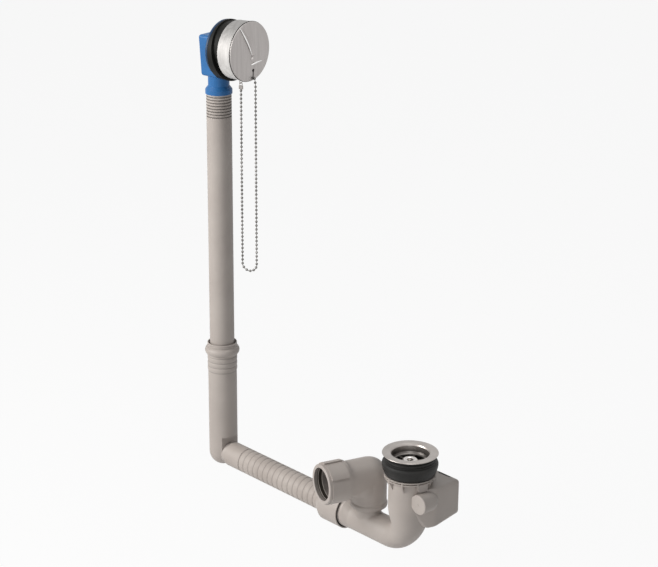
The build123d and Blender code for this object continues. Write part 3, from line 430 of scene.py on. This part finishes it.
class Finish:
    """A material being built: each method adds nodes and hands back the last one's result."""

    # A colour mix's sockets go by number, because numbers and vectors have some of the same names
    mix_share, mix_first, mix_second, mix_result = 0, 6, 7, 2

    def __init__(self, name):
        self.material = bpy.data.materials.new(name)
        self.material.use_nodes = True
        self.tree = self.material.node_tree
        self.links = self.tree.links
        self.shader = self.tree.nodes["Principled BSDF"]
        self.place = add_node(self.tree, "ShaderNodeTexCoord").outputs["Object"]

    def set(self, **values):
        for key, value in values.items():
            self.shader.inputs[key.replace("_", " ")].default_value = value

    def noise(self, scale, detail=3.0, roughness=0.5, stretch=None, turn=0.0):
        texture = add_node(self.tree, "ShaderNodeTexNoise", Scale=scale, Detail=detail, Roughness=roughness)
        place = self.place
        if stretch:
            mapping = add_node(self.tree, "ShaderNodeMapping", Scale=stretch, Rotation=(0, 0, turn))
            self.links.new(place, mapping.inputs["Vector"])
            place = mapping.outputs["Vector"]
        self.links.new(place, texture.inputs["Vector"])
        return texture.outputs["Fac"]

    def maths(self, operation, first, second=None):
        """One sum with numbers or other nodes' results."""
        node = self.tree.nodes.new("ShaderNodeMath")
        node.operation = operation
        for socket, value in zip(node.inputs, (first, second)):
            if isinstance(value, (int, float)):
                socket.default_value = value
            elif value:
                self.links.new(value, socket)
        return node.outputs["Value"]

    def between(self, source, low, high):
        """One between two limits, nought outside them."""
        over, under = self.maths("GREATER_THAN", source, low), self.maths("LESS_THAN", source, high)
        return self.maths("MULTIPLY", over, under)

    def away_from(self, first, second):
        """Distance from an axis, from the distances along the two directions across it."""
        squares = self.maths("ADD", self.maths("POWER", first, 2.0), self.maths("POWER", second, 2.0))
        return self.maths("SQRT", squares)

    def split(self, source):
        node = self.tree.nodes.new("ShaderNodeSeparateXYZ")
        self.links.new(source, node.inputs["Vector"])
        return [node.outputs[axis] for axis in "XYZ"]

    def along(self, axis):
        return self.split(self.place)["XYZ".index(axis)]

    def turned_axis(self, origin, turn):
        """Distances along and away from a level axis, given its origin and its turn."""
        moved = self.tree.nodes.new("ShaderNodeVectorMath")
        moved.operation = "SUBTRACT"
        moved.inputs[1].default_value = origin
        self.links.new(self.place, moved.inputs[0])
        turned = add_node(self.tree, "ShaderNodeMapping", Rotation=(0, 0, -turn))
        self.links.new(moved.outputs[0], turned.inputs["Vector"])
        x, y, z = self.split(turned.outputs["Vector"])
        return x, self.away_from(y, z)

    def fade(self, source, start, end, low=0.0, high=1.0):
        spread = add_node(
            self.tree, "ShaderNodeMapRange", From_Min=start, From_Max=end, To_Min=low, To_Max=high
        )
        spread.interpolation_type = "SMOOTHSTEP"
        self.links.new(source, spread.inputs["Value"])
        return spread.outputs["Result"]

    def paint_shade(self, colour, share, strength):
        """Painted shade: darkens a colour where the share is one."""
        mix = self.tree.nodes.new("ShaderNodeMix")
        mix.data_type = "RGBA"
        mix.blend_type = "MULTIPLY"
        self.links.new(self.maths("MULTIPLY", share, strength), mix.inputs[self.mix_share])
        self.links.new(colour, mix.inputs[self.mix_first])
        mix.inputs[self.mix_second].default_value = (0.0, 0.0, 0.0, 1.0)
        return mix.outputs[self.mix_result]

    def paint_crease_shade(self, colour, axis, first, step, half_width, low, high, strength):
        """Painted shade: darkens each crease of an even row along an axis, between the row's ends."""
        place = self.along(axis)
        away = self.maths("PINGPONG", self.maths("SUBTRACT", place, first), step / 2)
        crease = self.fade(away, half_width * 0.5, half_width, 1.0, 0.0)
        return self.paint_shade(colour, self.maths("MULTIPLY", crease, self.between(place, low, high)), strength)

    def paint_round_shade(self, colour, origin, turn, start, end, clear, full, limit, strength):
        """Painted shade: darkens a stretch of a round part, fading in from a clear radius to a full one, up to
        a limit.
        """
        along, away = self.turned_axis(origin, turn)
        inside = self.maths("MULTIPLY", self.between(along, start, end), self.maths("LESS_THAN", away, limit))
        return self.paint_shade(colour, self.maths("MULTIPLY", inside, self.fade(away, clear, full)), strength)

    def paint_well_shade(self, colour, radius, depth, strength):
        """Painted shade: darkens the inside of a round well about the waste's axis, more towards its depth."""
        x, y, z = self.split(self.place)
        inner = self.fade(self.away_from(x, y), radius, radius - 0.001)
        return self.paint_shade(colour, self.maths("MULTIPLY", inner, self.fade(z, 0.0, depth)), strength)

    def paint_shade_upwards(self, colour, clear, full, strength):
        """Painted shade: darkens from a clear height to a full one."""
        return self.paint_shade(colour, self.fade(self.along("Z"), clear, full), strength)

    def ramp(self, source, low, high, start=0.35, end=0.65):
        ramp = self.tree.nodes.new("ShaderNodeValToRGB")
        ends = zip(ramp.color_ramp.elements, (start, end), (low, high))
        for element, position, colour in ends:
            element.position = position
            element.color = (*colour, 1.0)
        self.links.new(source, ramp.inputs["Fac"])
        return ramp.outputs["Color"]

    def colour(self, source):
        self.links.new(source, self.shader.inputs["Base Color"])

    def roughness(self, source, low, high):
        spread = add_node(self.tree, "ShaderNodeMapRange", To_Min=low, To_Max=high)
        self.links.new(source, spread.inputs["Value"])
        self.links.new(spread.outputs["Result"], self.shader.inputs["Roughness"])

    def bump(self, source, height):
        bump = add_node(self.tree, "ShaderNodeBump", Distance=height, Strength=1.0)
        self.links.new(source, bump.inputs["Height"])
        self.links.new(bump.outputs["Normal"], self.shader.inputs["Normal"])


def moulded_plastic(name, dark, light, rough=(0.42, 0.55), gloss=0.5, creases=None, shade=None):
    """Satin moulded plastic: faint flow clouding, fine grain, a soft gloss, and painted shade in creases and on
    round parts where given.
    """
    finish = Finish(name)
    base = finish.ramp(finish.noise(18.0, 4.0), dark, light)
    if creases:
        base = finish.paint_crease_shade(base, **creases)
    if shade:
        base = finish.paint_round_shade(base, **shade)
    finish.colour(base)
    finish.roughness(finish.noise(60.0, 3.0), *rough)
    finish.bump(finish.noise(900.0, 2.0), 0.00004)
    finish.set(IOR=1.49, Specular_IOR_Level=gloss)
    return finish.material


def moulded_rubber(name, dark, light, gloss=0.35):
    """Black moulded rubber: matt, slightly dusty, with fine grain."""
    finish = Finish(name)
    finish.colour(finish.ramp(finish.noise(35.0, 5.0), dark, light))
    finish.roughness(finish.noise(120.0, 3.0), 0.5, 0.68)
    finish.bump(finish.noise(700.0, 3.0), 0.00008)
    finish.set(IOR=1.5, Specular_IOR_Level=gloss)
    return finish.material


def brushed_metal(name, dark, light, rough, grain=0.000004, stretch=(2, 2, 2), turn=0.0, well=None, height_shade=None):
    """Plated or pressed metal with fine drawn marks and uneven polish; painted shade can darken a well and the
    upper part.
    """
    finish = Finish(name)
    base = finish.ramp(finish.noise(22.0, 3.0, 0.5, stretch, turn), dark, light)
    if well:
        base = finish.paint_well_shade(base, **well)
    if height_shade:
        base = finish.paint_shade_upwards(base, **height_shade)
    finish.colour(base)
    finish.roughness(finish.noise(60.0, 4.0, 0.6, stretch, turn), *rough)
    finish.bump(finish.noise(120.0, 2.0, 0.5, stretch, turn), grain)
    finish.set(Metallic=1.0)
    return finish.material


# Painted shade: darker creases and hollows, the blue ring's rim, the outlet's mouth, the dish and the rosette's
# upper side
tube_groove_shade = {
    "axis": "Z",
    "first": groove_top,
    "step": groove_pitch,
    "half_width": 0.0010,
    "low": groove_low,
    "high": groove_top + 0.0012,
    "strength": 0.62,
}
socket_rib_shade = {
    "axis": "Z",
    "first": socket_rib_top,
    "step": socket_rib_pitch,
    "half_width": 0.0008,
    "low": 0.0,
    "high": socket_top,
    "strength": 0.30,
}
hose_crease_shade = {
    "axis": "X",
    "first": rib_start,
    "step": rib_pitch,
    "half_width": 0.0010,
    "low": rib_start - 0.001,
    "high": rib_end + 0.001,
    "strength": 0.25,
}
# Painted shade on the blue ring's rim, where it faces away from the lamps
ring_rim_shade = {
    "origin": (-reach, 0.0, head_height),
    "turn": head_turn,
    "start": ring_back - 0.0005,
    "end": ring_front + 0.0005,
    "clear": 0.0345,
    "full": 0.0362,
    "limit": 0.0385,
    "strength": 0.72,
}
# Painted shade deep in the outlet's mouth
outlet_mouth_shade = {
    "origin": outlet_corner,
    "turn": outlet_turn,
    "start": 0.0300,
    "end": nut_front - 0.0006,
    "clear": 0.0222,
    "full": 0.0218,
    "limit": 0.03,
    "strength": 0.46,
}
# Painted shade in the waste's dish
dish_well_shade = {"radius": dish_radius, "depth": dish_depth, "strength": 0.62}
# Painted shade up the rosette's side
rosette_side_shade = {"clear": head_height - 0.030, "full": head_height + 0.036, "strength": 0.52}

# Plastics and rubbers, each from its darker to its paler clouding
dark_grey, pale_grey = (0.415, 0.370, 0.340), (0.470, 0.425, 0.392)
grey = moulded_plastic("grey_polypropylene", dark_grey, pale_grey)
# Painted shade in the creases of the tube, the socket and the hose
tube_grey = moulded_plastic("grooved_tube_polypropylene", dark_grey, pale_grey, creases=tube_groove_shade)
socket_grey = moulded_plastic("ribbed_socket_polypropylene", dark_grey, pale_grey, creases=socket_rib_shade)
# Painted shade in the outlet's mouth
outlet_grey = moulded_plastic("outlet_polypropylene", dark_grey, pale_grey, shade=outlet_mouth_shade)
hose_grey = moulded_plastic(
    "hose_polypropylene", (0.405, 0.357, 0.325), (0.465, 0.415, 0.380), (0.48, 0.62), creases=hose_crease_shade
)
# Painted shade on the blue ring's rim
blue = moulded_plastic(
    "blue_polypropylene", (0.016, 0.105, 0.290), (0.027, 0.145, 0.375), (0.36, 0.50), 0.32, shade=ring_rim_shade
)
# Painted shade: the white plastic washers are coloured dark grey for the shade inside the outlet's mouth
shaded_washer_grey = moulded_plastic("washer_polyethylene", (0.090, 0.080, 0.068), (0.125, 0.112, 0.096))
rubber = moulded_rubber("black_rubber", (0.007, 0.0065, 0.006), (0.017, 0.016, 0.0145))
dark_rubber = moulded_rubber("dark_rubber", (0.004, 0.0038, 0.003), (0.009, 0.0085, 0.007), 0.2)
seal_brown = moulded_rubber("seal_rubber", (0.020, 0.017, 0.012), (0.034, 0.029, 0.022), 0.25)

# Metals, brushed ones with marks drawn out along one axis
brush = {"grain": 0.000006, "stretch": (14, 14, 0.8)}
chrome = brushed_metal(
    "brushed_chrome", (0.402, 0.377, 0.365), (0.448, 0.422, 0.409), (0.36, 0.47), turn=-head_turn, **brush
)
# Painted light and shade: the rosette's side is a paler copy of the chrome, painted darker towards its top
lit_side_chrome = brushed_metal(
    "chrome_painted_side_light", (0.60, 0.585, 0.57), (0.72, 0.705, 0.69), (0.62, 0.76), height_shade=rosette_side_shade, **brush
)
# Painted highlight: a much paler, glossier copy of the chrome, for the finger creases
crease_highlight_chrome = brushed_metal(
    "chrome_painted_crease_highlight", (0.86, 0.85, 0.84), (0.96, 0.95, 0.94), (0.22, 0.32), grain=0.000002
)
steel = brushed_metal(
    "pressed_steel", (0.345, 0.318, 0.298), (0.405, 0.376, 0.354), (0.30, 0.42), well=dish_well_shade
)
screw_steel = brushed_metal("turned_steel", (0.55, 0.53, 0.51), (0.66, 0.64, 0.62), (0.22, 0.34))
chain_steel = brushed_metal("bead_chain_steel", (0.135, 0.130, 0.122), (0.230, 0.222, 0.212), (0.22, 0.36))
brass = brushed_metal("turned_brass", (0.56, 0.40, 0.18), (0.66, 0.49, 0.24), (0.22, 0.34))

# The finish of each material slot, of the pieces that differ from their slot, and of the pieces made here
slot_finishes = {
    "grey_plastic": grey,
    "hose_plastic": hose_grey,
    "blue_plastic": blue,
    "white_plastic": shaded_washer_grey,
    "black_rubber": rubber,
    "chrome": chrome,
    "steel": steel,
    "chain_steel": chain_steel,
    "brass": brass,
}
own_finishes = {
    "overflow_tube": tube_grey,
    "lower_elbow": socket_grey,
    "waste_screw": screw_steel,
    "outlet_elbow": outlet_grey,
    "union_nut": outlet_grey,
    "outlet_seal": seal_brown,
    "rosette": lit_side_chrome,
    "overflow_gasket": dark_rubber,
}
made_here = {
    ball_chain: chain_steel,
    ribbed_hose: hose_grey,
    long_crease: crease_highlight_chrome,
    short_crease: crease_highlight_chrome,
    seal_edge_and_shadow_gap: rubber,
    gate_mark: grey,
    chamber_shadow_strip: rubber,
    inner_ring: grey,
    outer_ring: grey,
}
slots = {part["node"]: part["material_slot"] for part in frame["record"]["subparts"]}
for name, node in nodes.items():
    for socket in node.material_slots:
        socket.material = own_finishes.get(name, slot_finishes[slots[name]])
for piece, material in made_here.items():
    piece.data.materials.clear()
    piece.data.materials.append(material)


# Floor and backdrop
def seen_rays(tree):
    """One for rays that come from the camera, from gloss or through glass, otherwise nought."""
    path = tree.nodes.new("ShaderNodeLightPath")
    gloss = tree.nodes.new("ShaderNodeMath")
    gloss.operation = "ADD"
    tree.links.new(path.outputs["Is Camera Ray"], gloss.inputs[0])
    tree.links.new(path.outputs["Is Glossy Ray"], gloss.inputs[1])
    seen = tree.nodes.new("ShaderNodeMath")
    seen.operation = "ADD"
    seen.use_clamp = True
    tree.links.new(gloss.outputs["Value"], seen.inputs[0])
    tree.links.new(path.outputs["Is Transmission Ray"], seen.inputs[1])
    return seen.outputs["Value"]


def mix_shaders(tree, share, first, second, output):
    """Mixes two shaders by a share and leads the mix to the surface."""
    mix = tree.nodes.new("ShaderNodeMixShader")
    tree.links.new(share, mix.inputs["Fac"])
    tree.links.new(first, mix.inputs[1])
    tree.links.new(second, mix.inputs[2])
    tree.links.new(mix.outputs["Shader"], output.inputs["Surface"])


def make_floor():
    """A matt floor that glows white where it is seen, so that only the shadow tells it from the sky."""
    deselect()
    bpy.ops.mesh.primitive_plane_add(size=floor_size, location=floor_place)
    floor = bpy.context.object
    floor.name = "studio_floor"
    material = bpy.data.materials.new("studio_white")
    material.use_nodes = True
    tree = material.node_tree
    tree.nodes.clear()
    output = add_node(tree, "ShaderNodeOutputMaterial")
    matt = add_node(tree, "ShaderNodeBsdfDiffuse", Color=(floor_white, floor_white, floor_white, 1))
    glow = add_node(tree, "ShaderNodeEmission", Color=pure_white, Strength=1.0)
    share = tree.nodes.new("ShaderNodeMath")
    share.operation = "MULTIPLY"
    share.inputs[1].default_value = floor_glow
    tree.links.new(seen_rays(tree), share.inputs[0])
    mix_shaders(tree, share.outputs["Value"], matt.outputs["BSDF"], glow.outputs["Emission"], output)
    floor.data.materials.append(material)


def set_world():
    """A soft sky for light, seen as pure white."""
    world = bpy.data.worlds.new("studio")
    bpy.context.scene.world = world
    world.use_nodes = True
    tree = world.node_tree
    tree.nodes.clear()
    output = add_node(tree, "ShaderNodeOutputWorld")
    soft_sky = add_node(tree, "ShaderNodeBackground", Color=sky_colour, Strength=sky_strength)
    white_sky = add_node(tree, "ShaderNodeBackground", Color=pure_white, Strength=1.0)
    mix_shaders(tree, seen_rays(tree), soft_sky.outputs["Background"], white_sky.outputs["Background"], output)


def add_lamp(name, place, size, watts, colour=(1, 1, 1)):
    """A round soft lamp that points at the middle of the set."""
    lamp = bpy.data.lights.new(name, "AREA")
    lamp.shape = "DISK"
    lamp.size = size
    lamp.energy = watts
    lamp.color = colour
    holder = bpy.data.objects.new(name, lamp)
    bpy.context.scene.collection.objects.link(holder)
    holder.location = place
    direction = Vector(lit_place) - Vector(place)
    holder.rotation_euler = direction.to_track_quat("-Z", "Y").to_euler()


make_floor()
set_world()
add_lamp("key", (-1.08, -1.91, 1.15), 1.3, 50.0, (1.0, 0.985, 0.965))
add_lamp("top", (0.1, 0.2, 2.2), 1.4, 9.0)
add_lamp("front", (1.5, -1.5, 0.7), 1.2, 9.0)

bpy.context.scene.view_settings.view_transform = "Standard"
